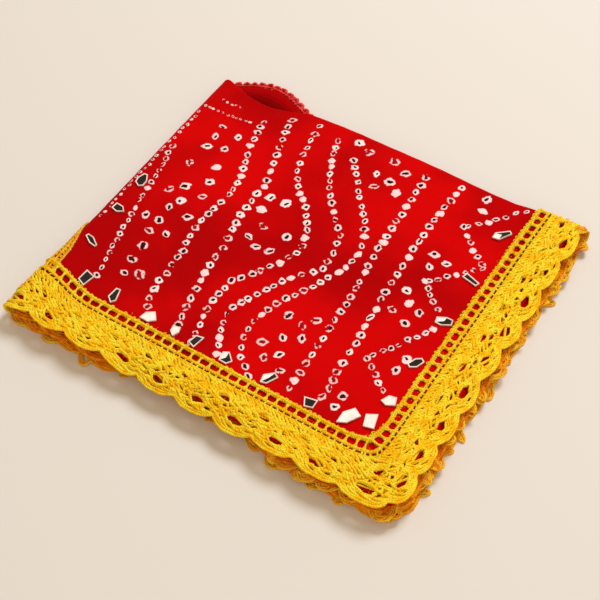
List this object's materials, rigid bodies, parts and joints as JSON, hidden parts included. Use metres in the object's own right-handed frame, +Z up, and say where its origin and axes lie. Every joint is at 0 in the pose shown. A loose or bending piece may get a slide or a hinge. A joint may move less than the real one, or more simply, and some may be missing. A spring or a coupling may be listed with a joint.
{
  "type": "folded cotton cloth with crochet lace border",
  "caption": "Square cotton cloth folded in four, tie-dyed in rings, with a wide crochet lace border, small mirrors and a picot edge, for dressing a tray, shelf or table.",
  "frame": {"origin": "on the underside, at the middle of the folded stack's outline", "axes": "+Z up through the stack; +X from the left-hand fold to the lace on the right; +Y from the lace on the front to the back fold"},
  "size_m": [0.3581, 0.3263, 0.0215],
  "materials": {
    "dyed_cotton": "plain woven cotton, red, tie-dyed with white rings",
    "lace_yarn": "matte golden-yellow cotton yarn, hooked",
    "dark_mirror": "flat mirror showing a dark room",
    "silvered_glass": "flat mirror showing a bright window"
  },
  "bodies": {
    "root": {"cloth": "dyed_cotton", "lace_border": "lace_yarn", "picot_edging": "dyed_cotton", "mirror_01": "dark_mirror", "mirror_02": "dark_mirror", "mirror_03": "dark_mirror", "mirror_04": "dark_mirror", "mirror_05": "dark_mirror", "mirror_06": "silvered_glass", "mirror_07": "silvered_glass", "mirror_08": "dark_mirror", "mirror_09": "dark_mirror", "mirror_10": "dark_mirror", "mirror_11": "dark_mirror", "mirror_12": "silvered_glass", "mirror_13": "silvered_glass", "mirror_14": "silvered_glass", "mirror_15": "dark_mirror", "mirror_16": "dark_mirror", "mirror_17": "dark_mirror", "mirror_18": "dark_mirror"}
  },
  "joints": []
}
